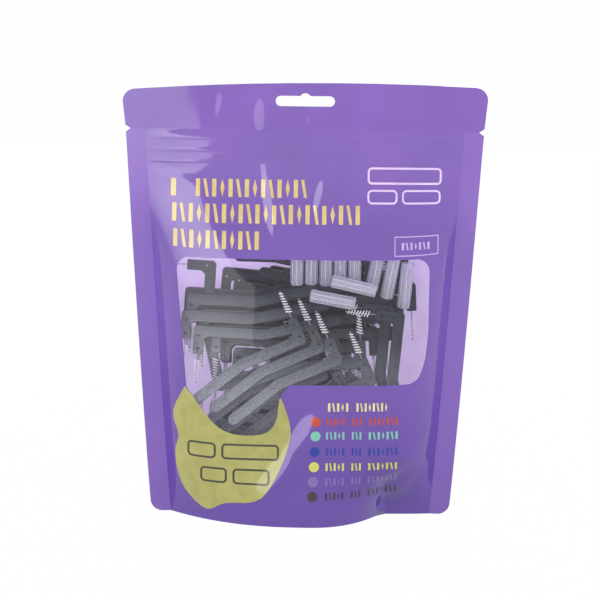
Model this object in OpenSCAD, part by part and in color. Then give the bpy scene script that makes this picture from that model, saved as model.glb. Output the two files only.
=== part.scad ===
// Stand-up zip pouch of L-shaped interdental brushes with caps.
// The pouch stands on the rim of its opened bottom gusset. X runs along its width, Z is up,
// and the printed front with the window faces -Y. The brushes lie in flat layers, one behind
// another, and the caps lie among them at the top of the window.

/* [Pouch] */
// Width of the flat pouch at its top edge
pouch_w = 160; // [140:1:200]
// Height of the standing pouch
pouch_h = 194.5; // [185:0.5:230]
// Width of the standing pouch at its base
foot_w = 133; // [118:1:150]
// Width of the heat seal along each side
seal_w = 8.6; // [5:0.1:12]
// Thickness of one film
film_t = 0.15; // [0.1:0.01:0.3]
// Depth from the middle plane to the rim, front and back
rim_depth = 27; // [20:0.5:34]
// Height of the seal band along the bottom rim
rim_seal_h = 4; // [2:0.5:8]
// Height of the gusset's fold above the floor in the middle of the pouch
gusset_rise = 7; // [5:0.5:10]
// Height of the gusset's fold above the floor at the side seals
gusset_corner_h = 28; // [20:1:34]
// Height over which the rim's shape turns into the belly's
foot_blend_h = 32; // [20:1:45]
// Height at which the belly starts to close towards the zip
shoulder_h = 108; // [100:1:112]
// Radius of the lower corners of the side seals
foot_corner_r = 5.5; // [2:0.5:8]

/* [Header] */
// Height from the tear line to the top edge
header_h = 19.5; // [14:0.5:26]
// Rise of the top edge in its middle
top_crown = 2; // [0.5:0.5:4]
// Radius of the top corners
top_corner_r = 5.5; // [3:0.5:10]
// Width of the hang slot
slot_w = 26; // [20:1:32]
// Height of the hang slot
slot_h = 4.6; // [4.2:0.1:6]
// Diameter of the round bump over the slot's middle
slot_bump_d = 5; // [3:0.5:7]
// Distance from the top edge's corners down to the middle of the slot
slot_drop = 6.6; // [6:0.1:9]
// Depth of each tear notch
notch_w = 2.2; // [1:0.1:4]
// Height of each tear notch
notch_h = 3; // [1.5:0.1:4]
// Gap left between the header and the lips under it
tear_gap = 0.1; // [0.05:0.01:0.3]

/* [Zip] */
// Height of the zip's two flanges
zip_h = 12; // [9:0.5:14]
// Distance from the tear line down to the top of the zip
zip_drop = 3; // [2:0.5:6]
// Distance between the two lips at the zip
zip_space = 2; // [1.8:0.1:2.6]
// Thickness of each flange
flange_t = 0.4; // [0.25:0.05:0.5]
// Height of the closing rib
rib_h = 0.9; // [0.6:0.1:1.4]
// Height of each rail beside the rib
rail_h = 0.7; // [0.5:0.1:1]
// Clearance round the rib and at the ends of the moving lip
zip_gap = 0.2; // [0.1:0.05:0.3]

/* [Window] */
// Width of the clear window
window_w = 111; // [100:1:114]
// Height of the window's top edge above the floor
window_top = 119; // [112:1:130]
// Height of the window's straight bottom edge above the floor
window_bottom = 63.5; // [55:0.5:75]
// Depth of the lobe under the window's left half
lobe_drop = 23; // [15:1:26]
// Radius of the window's upper corners
window_corner_r = 6; // [2:0.5:9]

/* [Brush] */
// Length of the handle from the elbow to its bend
neck_l = 28; // [25:0.5:30]
// Length of the handle from its bend to the tail
grip_l = 28; // [24:0.5:30]
// Width of the handle
handle_w = 4.8; // [4:0.1:5.2]
// Thickness of the handle
handle_t = 2.4; // [1.8:0.1:2.8]
// Angle of the handle's bend
bend_angle = 15; // [8:1:18]
// Length of the head arm from the handle's middle line
arm_l = 10.5; // [9.5:0.1:12]
// Width of the head arm
arm_w = 4.4; // [4:0.1:4.8]
// Diameter of the two pin holes in the arm
pin_hole_d = 1; // [0.8:0.1:1.2]
// Distance between the two pin holes
pin_hole_pitch = 6; // [5:0.1:6.2]
// Diameter of the twisted wire
wire_d = 0.7; // [0.5:0.05:0.9]
// Depth to which the wire is moulded into the arm
wire_set = 8; // [6:0.5:9]
// Length of bare wire between the arm and the bristles
wire_bare = 2.5; // [1:0.1:3]
// Length of wire past the bristles
wire_tip = 0.8; // [0.3:0.1:1.2]
// Length of the bristles
bristle_l = 10; // [8:0.5:11]
// Diameter over the bristles next to the handle
bristle_d = 2.8; // [2.4:0.1:3.1]
// Diameter over the bristles at the tip
bristle_tip_d = 1.8; // [1.4:0.1:2.3]
// Strands on each brush of the front row
strand_count = 40; // [30:2:50]
// Thickness of one drawn strand
strand_t = 0.24; // [0.16:0.02:0.3]

/* [Cap] */
// Outer diameter of the cap
cap_d = 5.8; // [5.2:0.1:6.2]
// Length of the cap
cap_l = 20.3; // [18:0.1:21]
// Wall of the cap at its collar
cap_wall = 0.45; // [0.4:0.05:0.7]
// Step from the collar down to the tube
cap_step = 0.15; // [0.1:0.05:0.2]
// Length of the collar at the cap's open end
cap_collar_l = 1.4; // [0.8:0.1:2]

/* [Pile] */
// Gap between one layer of brushes and the next
layer_gap = 0.35; // [0.3:0.05:0.6]
// Room between the outermost layers and the film
belly_gap = 2; // [1.8:0.1:6]

/* [Hidden] */
overrun = 1;
small_fn = 24;
cap_fn = 48;

layers = 12;
layer_pitch = max(handle_t, bristle_d) + layer_gap;
belly = layers * layer_pitch / 2 + belly_gap;

tear_z = pouch_h - top_crown - header_h;
zip_top = tear_z - zip_drop;
zip_z = zip_top - zip_h / 2;
hinge_z = zip_top - zip_h;
lip_y = zip_space / 2;

columns = 24;
rows = 24;
lens_power = 6;
width_power = 0.9;
rim_power = 2.4;
rim_middle_share = 0.05;
rim_right_share = 0.59;
pinch_share = 0.06;
corner_power = 3;
gusset_steps = 6;
gusset_end_share = 0.985;

function smooth(t) = let (c = min(1, max(0, t))) c * c * (3 - 2 * c);
function mix(a, b, t) = a + (b - a) * t;
function dome(t, power) = 1 - pow(min(1, abs(t)), power);

// Half of the standing pouch's width at a height, out to the cut edge and in to the seal.
function half_width(z) = mix(foot_w, pouch_w, pow(max(0, z) / pouch_h, width_power)) / 2;
function inner_width(z) = half_width(z) - seal_w;

// Depth of a film's inner face from the middle plane, at a share of the inner width.
function belly_depth(z) = mix(belly, lip_y, smooth((z - shoulder_h) / (hinge_z - shoulder_h)));
function rim_side(u) = (u - rim_middle_share) / (u < rim_middle_share ? 1 + rim_middle_share : rim_right_share);
function rim_shape(u) = max(pinch_share * dome(u, lens_power), dome(rim_side(u), rim_power));
function front_rim(u) = rim_depth * rim_shape(u);
function back_rim(u) = rim_depth * dome(u, rim_power);
function front_depth(u, z) =
    mix(front_rim(u), belly_depth(z) * dome(u, lens_power), smooth(z / foot_blend_h));
function back_depth(u, z) =
    mix(back_rim(u), belly_depth(z) * dome(u, lens_power), smooth(z / foot_blend_h));

function flat(lists) = [for (list = lists) each list];

// A closed sheet between two grids of points, each a list of rows with as many points in each.
module sheet(first, second) {
    n = len(first);
    m = len(first[0]);
    far = n * m;
    function at(i, j, side) = side * far + i * m + j;
    faces = concat(
        flat([for (i = [0:n - 2], j = [0:m - 2]) [
            [at(i, j, 0), at(i + 1, j, 0), at(i + 1, j + 1, 0)],
            [at(i, j, 0), at(i + 1, j + 1, 0), at(i, j + 1, 0)],
            [at(i, j, 1), at(i + 1, j + 1, 1), at(i + 1, j, 1)],
            [at(i, j, 1), at(i, j + 1, 1), at(i + 1, j + 1, 1)]]]),
        flat([for (i = [0:n - 2]) [
            [at(i, 0, 0), at(i, 0, 1), at(i + 1, 0, 1)],
            [at(i, 0, 0), at(i + 1, 0, 1), at(i + 1, 0, 0)],
            [at(i, m - 1, 0), at(i + 1, m - 1, 1), at(i, m - 1, 1)],
            [at(i, m - 1, 0), at(i + 1, m - 1, 0), at(i + 1, m - 1, 1)]]]),
        flat([for (j = [0:m - 2]) [
            [at(0, j, 0), at(0, j + 1, 1), at(0, j, 1)],
            [at(0, j, 0), at(0, j + 1, 0), at(0, j + 1, 1)],
            [at(n - 1, j, 0), at(n - 1, j, 1), at(n - 1, j + 1, 1)],
            [at(n - 1, j, 0), at(n - 1, j + 1, 1), at(n - 1, j + 1, 0)]]]));
    polyhedron(points = concat(flat(first), flat(second)), faces = faces);
}

// Places across and up the bulged films. The first two rows hold the rim's seal band.
across_shares = [for (j = [0:columns]) 2 * j / columns - 1];
up_places = concat([0], [for (i = [0:rows - 1]) mix(rim_seal_h, hinge_z - zip_gap, i / (rows - 1))]);

module front_shell() {
    sheet(
        [for (z = up_places) [for (u = across_shares)
            [u * inner_width(z), -front_depth(u, z) - film_t, z]]],
        [for (z = up_places) [for (u = across_shares)
            [u * inner_width(z), -front_depth(u, z), z]]]);
}

// The window's outline: round upper corners, a slanted right end, and a lobe under its left half.
window_left = -window_w / 2;
window_right = window_w / 2;
window_h = window_top - window_bottom;
lobe_across_shares = [-0.046, -0.085, -0.095, -0.117, -0.150, -0.215, -0.275, -0.318, -0.357, -0.405, -0.458];
lobe_down_shares = [0, 0.25, 0.62, 0.85, 0.96, 1, 0.97, 0.89, 0.74, 0.46, 0.13];
right_across_shares = [0.500, 0.490, 0.475, 0.458, 0.430];
right_up_shares = [0.40, 0.20, 0.09, 0.03, 0];
corner_steps = 6;
function corner(x, z, r, from) = [for (i = [0:corner_steps])
    let (a = from + 90 * i / corner_steps) [x + r * cos(a), z + r * sin(a)]];
window_outline = concat(
    corner(window_right - window_corner_r, window_top - window_corner_r, window_corner_r, 0),
    corner(window_left + window_corner_r, window_top - window_corner_r, window_corner_r, 90),
    [for (i = [len(lobe_across_shares) - 1:-1:0])
        [window_w * lobe_across_shares[i], window_bottom - lobe_drop * lobe_down_shares[i]]],
    [for (i = [len(right_across_shares) - 1:-1:0])
        [window_w * right_across_shares[i], window_bottom + window_h * right_up_shares[i]]]);

module window_prism() {
    depth = belly + rim_depth;
    rotate([90, 0, 0]) linear_extrude(depth) polygon(window_outline);
}

module front_film() {
    color("#8A66BE") difference() {
        front_shell();
        window_prism();
    }
}

module front_window() {
    color("#D8CFE6", 0.3) intersection() {
        front_shell();
        window_prism();
    }
}

module back_film() {
    color("#8A66BE") sheet(
        [for (z = up_places) [for (u = across_shares)
            [-u * inner_width(z), back_depth(-u, z) + film_t, z]]],
        [for (z = up_places) [for (u = across_shares)
            [-u * inner_width(z), back_depth(-u, z), z]]]);
}

// The gusset runs up the inside of the front film's seal band, over its own fold and down the back's.
gusset_shares = [for (u = across_shares) min(gusset_end_share, max(-gusset_end_share, u))];
last_column = 1 - 2 / columns;
function film_depth(u, z, side) = side < 0 ? front_depth(u, z) : back_depth(u, z);
function meeting_depth(u, z, side) =
    let (
        inner_u = min(last_column, max(-last_column, u)),
        past = max(0, abs(u) - last_column) / (1 - last_column))
    film_depth(inner_u, z, side) * (1 - past);
function fold_z(u) = mix(gusset_rise, gusset_corner_h, pow(abs(u), corner_power));
function gusset_half(u, depths, side, drop) = [
    [u * inner_width(0), side * (depths[0] - drop), 0],
    [u * inner_width(rim_seal_h), side * (depths[1] - drop), rim_seal_h],
    for (k = [1:gusset_steps - 1])
        let (s = k / gusset_steps, z = mix(rim_seal_h, fold_z(u), sin(90 * s)))
        [u * inner_width(z), side * (depths[1] - drop) * (1 - s), z - drop]];
function gusset_section(u, drop) =
    let (
        front = [meeting_depth(u, 0, -1), meeting_depth(u, rim_seal_h, -1)],
        back = [meeting_depth(u, 0, 1), meeting_depth(u, rim_seal_h, 1)],
        rear_half = gusset_half(u, back, 1, drop))
    concat(
        gusset_half(u, front, -1, drop),
        [[u * inner_width(fold_z(u)), 0, fold_z(u) - drop]],
        [for (i = [len(rear_half) - 1:-1:0]) rear_half[i]]);

module bottom_gusset() {
    color("#7B5AAE") sheet(
        [for (u = gusset_shares) gusset_section(u, film_t)],
        [for (u = gusset_shares) gusset_section(u, 0)]);
}

// One side seal, from the floor to the tear line, with half of the tear notch at its top.
seal_steps = 12;
module side_seal(side) {
    inner = [for (i = [0:seal_steps]) let (z = tear_z * i / seal_steps) [inner_width(z), z]];
    corner_x = half_width(foot_corner_r) - foot_corner_r;
    foot = [for (i = [0:corner_steps]) let (a = 90 * i / corner_steps - 90)
        [corner_x + foot_corner_r * cos(a), foot_corner_r + foot_corner_r * sin(a)]];
    outer = [for (i = [1:seal_steps]) let (z = mix(foot_corner_r, tear_z - notch_h / 2, i / seal_steps))
        [half_width(z), z]];
    notch = [[half_width(tear_z) - notch_w, tear_z]];
    mirror([side < 0 ? 1 : 0, 0, 0]) rotate([90, 0, 0])
        linear_extrude(2 * film_t, center = true)
            polygon(concat([for (i = [seal_steps:-1:0]) inner[i]], foot, outer, notch));
}

module left_side_seal() {
    color("#9C7ACF") side_seal(-1);
}

module right_side_seal() {
    color("#9C7ACF") side_seal(1);
}

// The header: two films sealed flat together over the tear line, with the hang slot in its middle.
header_steps = 12;
corner_top = pouch_h - top_crown;
function top_edge(x) = corner_top + top_crown * (1 - pow(x / (pouch_w / 2), 2));
header_corner_x = pouch_w / 2 - top_corner_r;
header_corner_z = top_edge(header_corner_x) - top_corner_r;
module header_strip() {
    low = tear_z + tear_gap;
    right_side = concat(
        [[half_width(tear_z) - notch_w, low], [half_width(low + notch_h / 2), low + notch_h / 2]],
        [for (i = [0:corner_steps]) let (a = 90 * i / corner_steps)
            [header_corner_x + top_corner_r * cos(a), header_corner_z + top_corner_r * sin(a)]]);
    top = [for (i = [header_steps - 1:-1:1]) let (x = header_corner_x * (2 * i / header_steps - 1)) [x, top_edge(x)]];
    left_side = [for (i = [len(right_side) - 1:-1:0]) [-right_side[i][0], right_side[i][1]]];
    slot_z = corner_top - slot_drop;
    color("#8A66BE") rotate([90, 0, 0]) difference() {
        linear_extrude(2 * film_t, center = true) polygon(concat(right_side, top, left_side));
        translate([0, slot_z, 0]) {
            cube([slot_w - slot_h, slot_h, overrun], center = true);
            for (side = [-1, 1])
                translate([side * (slot_w - slot_h) / 2, 0, 0])
                    cylinder(h = overrun, d = slot_h, center = true, $fn = cap_fn);
            translate([0, slot_h / 2 - slot_bump_d / 4, 0])
                cylinder(h = overrun, d = slot_bump_d, center = true, $fn = cap_fn);
        }
    }
}

// A lip: the film over the bulge that covers one half of the zip and closes at the tear line.
function lip_levels(inner) = [
    [hinge_z, lip_y], [zip_top, lip_y], [tear_z, inner]];
module lip(side, end_gap) {
    levels = lip_levels(film_t / 2);
    sheet(
        [for (l = levels) [for (u = [-1, 1])
            [u * (inner_width(l[0]) - end_gap), side > 0 ? l[1] : -l[1] - film_t, l[0]]]],
        [for (l = levels) [for (u = [-1, 1])
            [u * (inner_width(l[0]) - end_gap), side > 0 ? l[1] + film_t : -l[1], l[0]]]]);
}

module front_lip() {
    color("#8A66BE") lip(-1, zip_gap);
}

module back_lip() {
    color("#8A66BE") lip(1, 0);
}

// The two halves of the zip, each a flange welded to its lip, drawn as sections along the pouch.
module zip_section(points) {
    zip_l = 2 * (inner_width(hinge_z) - zip_gap);
    translate([-zip_l / 2, 0, 0]) rotate([90, 0, 90]) linear_extrude(zip_l) polygon(points);
}

module zip_groove() {
    face = -lip_y + flange_t;
    tip = lip_y - flange_t - zip_gap;
    channel = rib_h / 2 + zip_gap;
    color("#B9A6DC") zip_section([
        [-lip_y, zip_z - zip_h / 2], [face, zip_z - zip_h / 2],
        [face, zip_z - channel - rail_h], [tip, zip_z - channel - rail_h],
        [tip, zip_z - channel], [face, zip_z - channel],
        [face, zip_z + channel], [tip, zip_z + channel],
        [tip, zip_z + channel + rail_h], [face, zip_z + channel + rail_h],
        [face, zip_z + zip_h / 2], [-lip_y, zip_z + zip_h / 2]]);
}

module zip_rib() {
    face = lip_y - flange_t;
    tip = -lip_y + flange_t + zip_gap;
    color("#B9A6DC") zip_section([
        [lip_y, zip_z - zip_h / 2], [lip_y, zip_z + zip_h / 2],
        [face, zip_z + zip_h / 2], [face, zip_z + rib_h / 2],
        [tip, zip_z + rib_h / 2], [tip, zip_z - rib_h / 2],
        [face, zip_z - rib_h / 2], [face, zip_z - zip_h / 2]]);
}

// One brush, in its own plane: the elbow at the origin, the neck along +X and the arm along Z.
half_handle = handle_w / 2;
half_arm = arm_w / 2;
elbow_cut = handle_w / 4;
elbow_fillet = handle_w / 3;
tail_steps = 6;
function handle_outline(side) =
    let (
        shift = half_handle * tan(bend_angle / 2),
        end_x = neck_l + (grip_l - half_handle) * cos(bend_angle),
        end_z = -(grip_l - half_handle) * sin(bend_angle),
        tail = [for (i = [0:tail_steps]) let (a = 180 * i / tail_steps - 90 - bend_angle)
            [end_x + half_handle * cos(a), end_z + half_handle * sin(a)]],
        points = concat(
            [[-half_arm, arm_l], [-half_arm, elbow_cut - half_handle],
                [elbow_cut - half_arm, -half_handle], [neck_l - shift, -half_handle]],
            tail,
            [[neck_l + shift, half_handle], [half_arm + elbow_fillet, half_handle],
                [half_arm, half_handle + elbow_fillet], [half_arm, arm_l]]))
    [for (p = points) [p[0], side * p[1]]];

module handle_shape(side) {
    first_hole = arm_l - wire_set / 3;
    difference() {
        rotate([90, 0, 0]) linear_extrude(handle_t, center = true) polygon(handle_outline(side));
        translate([0, 0, side * (arm_l - wire_set)]) rotate([side > 0 ? 0 : 180, 0, 0])
            cylinder(h = wire_set + overrun, d = wire_d, $fn = small_fn);
        for (z = [first_hole, first_hole - pin_hole_pitch])
            translate([0, 0, side * z]) rotate([90, 0, 0])
                cylinder(h = handle_t + overrun, d = pin_hole_d, center = true, $fn = small_fn);
    }
}

module wire_shape(side) {
    translate([0, 0, side * (arm_l - wire_set)]) rotate([side > 0 ? 0 : 180, 0, 0])
        cylinder(h = wire_set + wire_bare + bristle_l + wire_tip, d = wire_d, $fn = small_fn);
}

// Bristles of a front brush: strands in opposite pairs that wind up a thin core on the wire.
core_wall = 0.2;
strand_turns = 2.5;
module strand_bristles() {
    core_r = wire_d / 2 + core_wall;
    pairs = strand_count / 2;
    pair_pitch = bristle_l / pairs;
    difference() {
        union() {
            cylinder(h = bristle_l, r = core_r, $fn = 12);
            for (i = [0:pairs - 1]) {
                reach = mix(bristle_d, bristle_tip_d, i / (pairs - 1)) / 2;
                translate([0, 0, pair_pitch * (i + 0.5)]) rotate([0, 90, 360 * strand_turns * i / pairs])
                    cylinder(h = 2 * reach, d = strand_t, center = true, $fn = 3);
            }
        }
        translate([0, 0, -overrun]) cylinder(h = bristle_l + 2 * overrun, d = wire_d, $fn = small_fn);
    }
}

module plain_bristles() {
    difference() {
        cylinder(h = bristle_l, d1 = bristle_d, d2 = bristle_tip_d, $fn = small_fn);
        translate([0, 0, -overrun]) cylinder(h = bristle_l + 2 * overrun, d = wire_d, $fn = small_fn);
    }
}

module on_wire(side) {
    translate([0, 0, side * (arm_l + wire_bare)]) rotate([side > 0 ? 0 : 180, 0, 0]) children();
}

// Nests of brushes that lie alike: the layer from the front, the first elbow's place across and
// up as shares of the window's width and the belly's height, the neck's direction, the side
// its arm is on, how many brushes, the step to the next one along the neck and along the arm in
// handle widths, and 1 where the brushes are the ones of the front row.
nest_shares = [
    [1, 0.140, 0.684, 204, -1, 1, 0, 0, 1],
    [1, 0.275, 0.602, 204, -1, 1, 0, 0, 1],
    [2, -0.005, 0.761, 204, -1, 1, 0, 0, 1],
    [2, 0.071, 0.729, 204, -1, 1, 0, 0, 1],
    [2, 0.383, 0.860, 265, -1, 1, 0, 0, 1],
    [3, 0.237, 0.660, 184, -1, 1, 0, 0, 1],
    [3, -0.460, 0.850, 357, -1, 2, 1.2, 1.36, 1],
    [3, 0.334, 0.880, 265, -1, 1, 0, 0, 0],
    [3, 0.332, 0.229, 186, -1, 3, 1.2, 1.36, 0],
    [4, 0.105, 0.773, 214, 1, 1, 0, 0, 1],
    [4, 0.175, 0.529, 204, -1, 1, 0, 0, 1],
    [4, -0.440, 0.911, 358, -1, 3, 1.2, 1.36, 0],
    [4, 0.360, 0.205, 186, -1, 3, 1.2, 1.36, 0],
    [5, -0.252, 1.088, 359, 1, 1, 0, 0, 0],
    [5, 0.227, 0.525, 204, -1, 4, 1.2, 1.36, 0],
    [5, 0.400, 0.204, 186, -1, 3, 1.2, 1.36, 0],
    [5, 0.324, 0.916, 183, -1, 2, 1.2, 1.36, 0],
    [6, -0.367, 1.039, 267, -1, 1, 0, 0, 0],
    [6, 0.430, 0.960, 183, 1, 5, 1.2, 1.36, 0],
    [6, -0.385, 0.243, 354, 1, 5, 1.2, 1.36, 0],
    [7, -0.451, 0.922, 357, -1, 5, 1.2, 1.36, 0],
    [7, 0.420, 0.230, 186, -1, 5, 1.2, 1.36, 0],
    [7, 0.400, 1.060, 180, -1, 1, 0, 0, 0],
    [8, 0.370, 1.040, 184, 1, 5, 1.2, 1.36, 0],
    [8, -0.420, 0.240, 355, 1, 5, 1.2, 1.36, 0],
    [9, -0.449, 0.899, 358, -1, 5, 1.2, 1.36, 0],
    [9, 0.426, 0.218, 186, -1, 5, 1.2, 1.36, 0],
    [9, 0.376, 1.027, 180, -1, 1, 0, 0, 0],
    [10, 0.360, 0.980, 185, 1, 5, 1.2, 1.36, 0],
    [10, -0.380, 0.230, 355, 1, 5, 1.2, 1.36, 0],
    [11, -0.305, 0.984, 355, -1, 5, 1.2, 1.36, 0],
    [11, 0.330, 0.240, 186, -1, 5, 1.2, 1.36, 0],
    [12, -0.257, 0.962, 355, -1, 3, 1.2, 1.36, 0],
    [12, 0.291, 0.340, 186, -1, 4, 1.2, 1.36, 0]];

// Caps: the layer that they lie behind, the middle's place across and up, and the direction.
cap_shares = [
    [3, -0.024, 1.071, 90], [3, 0.033, 1.074, 90], [3, 0.090, 1.071, 90], [3, 0.147, 1.074, 90],
    [3, 0.204, 1.071, 90], [3, 0.288, 1.052, 79], [3, 0.347, 1.019, 80], [3, 0.407, 0.981, 85],
    [1, 0.117, 0.932, -10], [1, 0.200, 0.989, -13]];

function place_of(nest, i) =
    let (
        step_x = nest[6] * handle_w * i,
        step_z = nest[7] * handle_w * i * nest[4],
        a = nest[3])
    [nest[0], window_w * nest[1] + step_x * cos(a) - step_z * sin(a),
        shoulder_h * nest[2] + step_x * sin(a) + step_z * cos(a), a, nest[4], nest[8]];
places = flat([for (nest = nest_shares) [for (i = [0:nest[5] - 1]) place_of(nest, i)]]);
function layer_y(layer) = (layer - (layers + 1) / 2) * layer_pitch;
front_row = [for (i = [0:len(places) - 1]) if (places[i][5] == 1) i];
cap_places = [for (c = cap_shares) [layer_y(c[0] + 1 / 2), window_w * c[1], shoulder_h * c[2], c[3]]];

module placed(place) {
    translate([place[1], layer_y(place[0]), place[2]]) rotate([0, -place[3], 0]) children();
}

module brush_handle(place) {
    color("#6E7176") placed(place) handle_shape(place[4]);
}

module brush_wire(place) {
    color("#B8BABD") placed(place) wire_shape(place[4]);
}

module brush_bristles(place) {
    color("#F2F2F0") placed(place) on_wire(place[4]) strand_bristles();
}

// The brushes behind the front row, by halves of the pile.
function behind(from, to) = [for (p = places) if (p[5] == 0 && p[0] > from && p[0] <= to) p];
front_half = behind(0, layers / 2);
back_half = behind(layers / 2, layers);

module pile_handles(half) {
    color("#5F6268") for (p = half) placed(p) handle_shape(p[4]);
}

module pile_wires(half) {
    color("#B8BABD") for (p = half) placed(p) wire_shape(p[4]);
}

module pile_bristles(half) {
    color("#F2F2F0") for (p = half) placed(p) on_wire(p[4]) plain_bristles();
}

// A cap, its axis along +X: a tube with a rounded closed end and a collar round its mouth.
cap_end_shares = [[0.72, 0.25], [0.92, 0.07]];
module cap(place) {
    outer = cap_d / 2;
    tube = outer - cap_step;
    bore = outer - cap_wall;
    mouth = cap_l / 2;
    color("#DCDCE6", 0.4) translate([place[1], place[0], place[2]]) rotate([0, 90 - place[3], 0])
        rotate_extrude($fn = cap_fn) polygon(concat(
            [[0, -mouth]], [for (c = cap_end_shares) [tube * c[0], tube * c[1] - mouth]],
            [[tube, tube * (1 - cap_end_shares[0][0]) - mouth], [tube, mouth - cap_collar_l],
                [outer, mouth - cap_collar_l], [outer, mouth], [bore, mouth],
                [bore, cap_wall + bore * (1 - cap_end_shares[0][0]) - mouth], [0, cap_wall - mouth]]));
}

function two_digits(i) = str(i < 10 ? "0" : "", i);
pouch_nodes = [
    "front_film", "front_window", "back_film", "bottom_gusset", "left_side_seal", "right_side_seal",
    "header_strip", "front_lip", "back_lip", "zip_groove", "zip_rib"];
cap_nodes = [for (i = [1:len(cap_places)]) str("cap_", two_digits(i))];
brush_names = [for (i = [1:len(front_row)]) str("brush_", two_digits(i))];
brush_nodes = flat([for (name = brush_names) [str(name, "_handle"), str(name, "_wire"), str(name, "_bristles")]]);
pile_nodes = [
    "front_pile_handles", "front_pile_wires", "front_pile_bristles",
    "back_pile_handles", "back_pile_wires", "back_pile_bristles"];

front_film();
front_window();
back_film();
bottom_gusset();
left_side_seal();
right_side_seal();
header_strip();
front_lip();
back_lip();
zip_groove();
zip_rib();
for (i = [0:len(cap_places) - 1])
    cap(cap_places[i]);
for (i = [0:len(front_row) - 1]) {
    brush_handle(places[front_row[i]]);
    brush_wire(places[front_row[i]]);
    brush_bristles(places[front_row[i]]);
}
pile_handles(front_half);  // front_pile_handles
pile_wires(front_half);  // front_pile_wires
pile_bristles(front_half);  // front_pile_bristles
pile_handles(back_half);  // back_pile_handles
pile_wires(back_half);  // back_pile_wires
pile_bristles(back_half);  // back_pile_bristles
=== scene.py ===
# Looks for a glossy stand-up zip pouch full of interdental brushes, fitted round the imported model.
# Lengths are millimetres in the pouch's own frame and turn to metres where a mesh is placed.
import math

import bmesh
import bpy
from mathutils import Matrix, Vector, noise


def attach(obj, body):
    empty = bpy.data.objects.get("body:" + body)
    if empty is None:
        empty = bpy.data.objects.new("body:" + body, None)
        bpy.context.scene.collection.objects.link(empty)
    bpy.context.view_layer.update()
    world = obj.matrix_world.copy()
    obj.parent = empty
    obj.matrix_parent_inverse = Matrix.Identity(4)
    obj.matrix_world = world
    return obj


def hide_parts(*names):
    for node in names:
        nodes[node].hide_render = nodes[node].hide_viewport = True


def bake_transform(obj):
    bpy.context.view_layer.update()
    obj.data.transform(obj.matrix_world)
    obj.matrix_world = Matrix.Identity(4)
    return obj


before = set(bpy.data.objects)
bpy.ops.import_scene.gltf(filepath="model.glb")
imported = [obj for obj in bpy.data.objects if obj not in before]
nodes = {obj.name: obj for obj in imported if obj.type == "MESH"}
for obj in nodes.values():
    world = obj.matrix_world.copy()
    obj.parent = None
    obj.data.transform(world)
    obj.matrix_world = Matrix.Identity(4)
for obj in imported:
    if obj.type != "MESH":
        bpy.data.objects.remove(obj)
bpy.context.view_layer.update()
scene = bpy.context.scene
MM = 0.001

# The pouch's sizes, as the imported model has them.
POUCH_W, POUCH_H, FOOT_W, SEAL_W, FILM_T = 160.0, 194.5, 133.0, 8.6, 0.15
RIM_DEPTH, RIM_MIDDLE, RIM_RIGHT, BELLY, LIP_Y = 27.0, 0.05, 0.59, 20.9, 1.0
FOOT_BLEND_H, SHOULDER_H, HINGE_Z, ZIP_TOP, TEAR_Z = 32.0, 108.0, 158.0, 170.0, 173.0
NOTCH_W, NOTCH_H = 2.2, 3.0
FOOT_CORNER_R, TOP_CORNER_R, TOP_CROWN = 5.5, 5.5, 2.0
SLOT_W, SLOT_H, SLOT_BUMP_D, SLOT_DROP = 26.0, 4.6, 5.0, 6.6
WINDOW_W, WINDOW_TOP, WINDOW_BOTTOM, WINDOW_R, LOBE_DROP = 111.0, 119.0, 63.5, 6.0, 23.0
WIRE_L, WIRE_SET, WIRE_BARE, WIRE_D = 21.3, 8.0, 2.5, 0.7
BRISTLE_L, BRISTLE_D, BRISTLE_TIP_D = 10.0, 2.8, 1.6

# The powers of its curves: the flare of its sides, its rims, how full it stays towards the seals, and how
# near to the seals the film has dents. Then the front rim's least depth, as a share of its greatest.
FLARE, RIM_CURVE, FULLNESS, DENT_CURVE = 0.9, 2.4, 6, 8
RIM_LEAST = 0.06

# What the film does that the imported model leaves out: it swells over the contents, is ridged along the
# zip, leans forwards at the side seals, and is cut at a slope along the top.
SWELL, CALM_FOOT, CALM_ZIP, DENTS_FROM = 2.0, 30.0, 45.0, 12.0
RIDGES, RIDGE_H, RIDGE_W = (158.6, 164.0, 169.4), 0.22, 0.7
SEAL_LEAN, SEAL_LEAN_H = 0.12, 40.0
TOP_SLOPE, TOP_SLOPE_H = 0.6, 12.0

# Print: its thickness, how far it stands out, and the widths of its bars, frames and dots.
PRINT_T, PRINT_PROUD, PRINT_OVER_PRINT = 0.04, 0.06, 0.13
TITLE_PITCH, SMALL_PITCH, FRAME_R, DOT_R = 3.7, 1.9, 2.0, 2.25

# Brushes and caps.
HANDLE_EDGE_R, PANEL_RIM, PANEL_DEPTH = 0.45, 0.6, 0.5
TWIST_PITCH, TUFTS, TUFT_SLANT, TUFT_FLATNESS, FILAMENT_D = 1.7, 8, 20.0, 0.7, 0.36
NEAR_BRISTLE_D, NEAR_BRISTLE_TIP_D = 3.2, 1.7
CAP_RIB_H, SIDES_PER_RIB = 0.15, 6


def smooth(t):
    """An even step from 0 to 1, level at both ends."""
    t = min(1.0, max(0.0, t))
    return t * t * (3 - 2 * t)


def mix(a, b, t):
    """The value at share t of the way from a to b."""
    return a + (b - a) * t


def dome(t, power):
    """1 in the middle and 0 at -1 and 1; a higher power keeps it full further out."""
    return 1 - min(1.0, abs(t)) ** power


def half_width(z):
    """From the middle to the pouch's outer edge."""
    return mix(FOOT_W, POUCH_W, (max(0.0, z) / POUCH_H) ** FLARE) / 2


def inner_width(z):
    """From the middle to the inner edge of a side seal."""
    return half_width(z) - SEAL_W


def belly_depth(z):
    """How deep the filled pouch is at its middle: even up to the shoulder, and thin at the zip."""
    return mix(BELLY, LIP_Y, smooth((z - SHOULDER_H) / (HINGE_Z - SHOULDER_H)))


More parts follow.
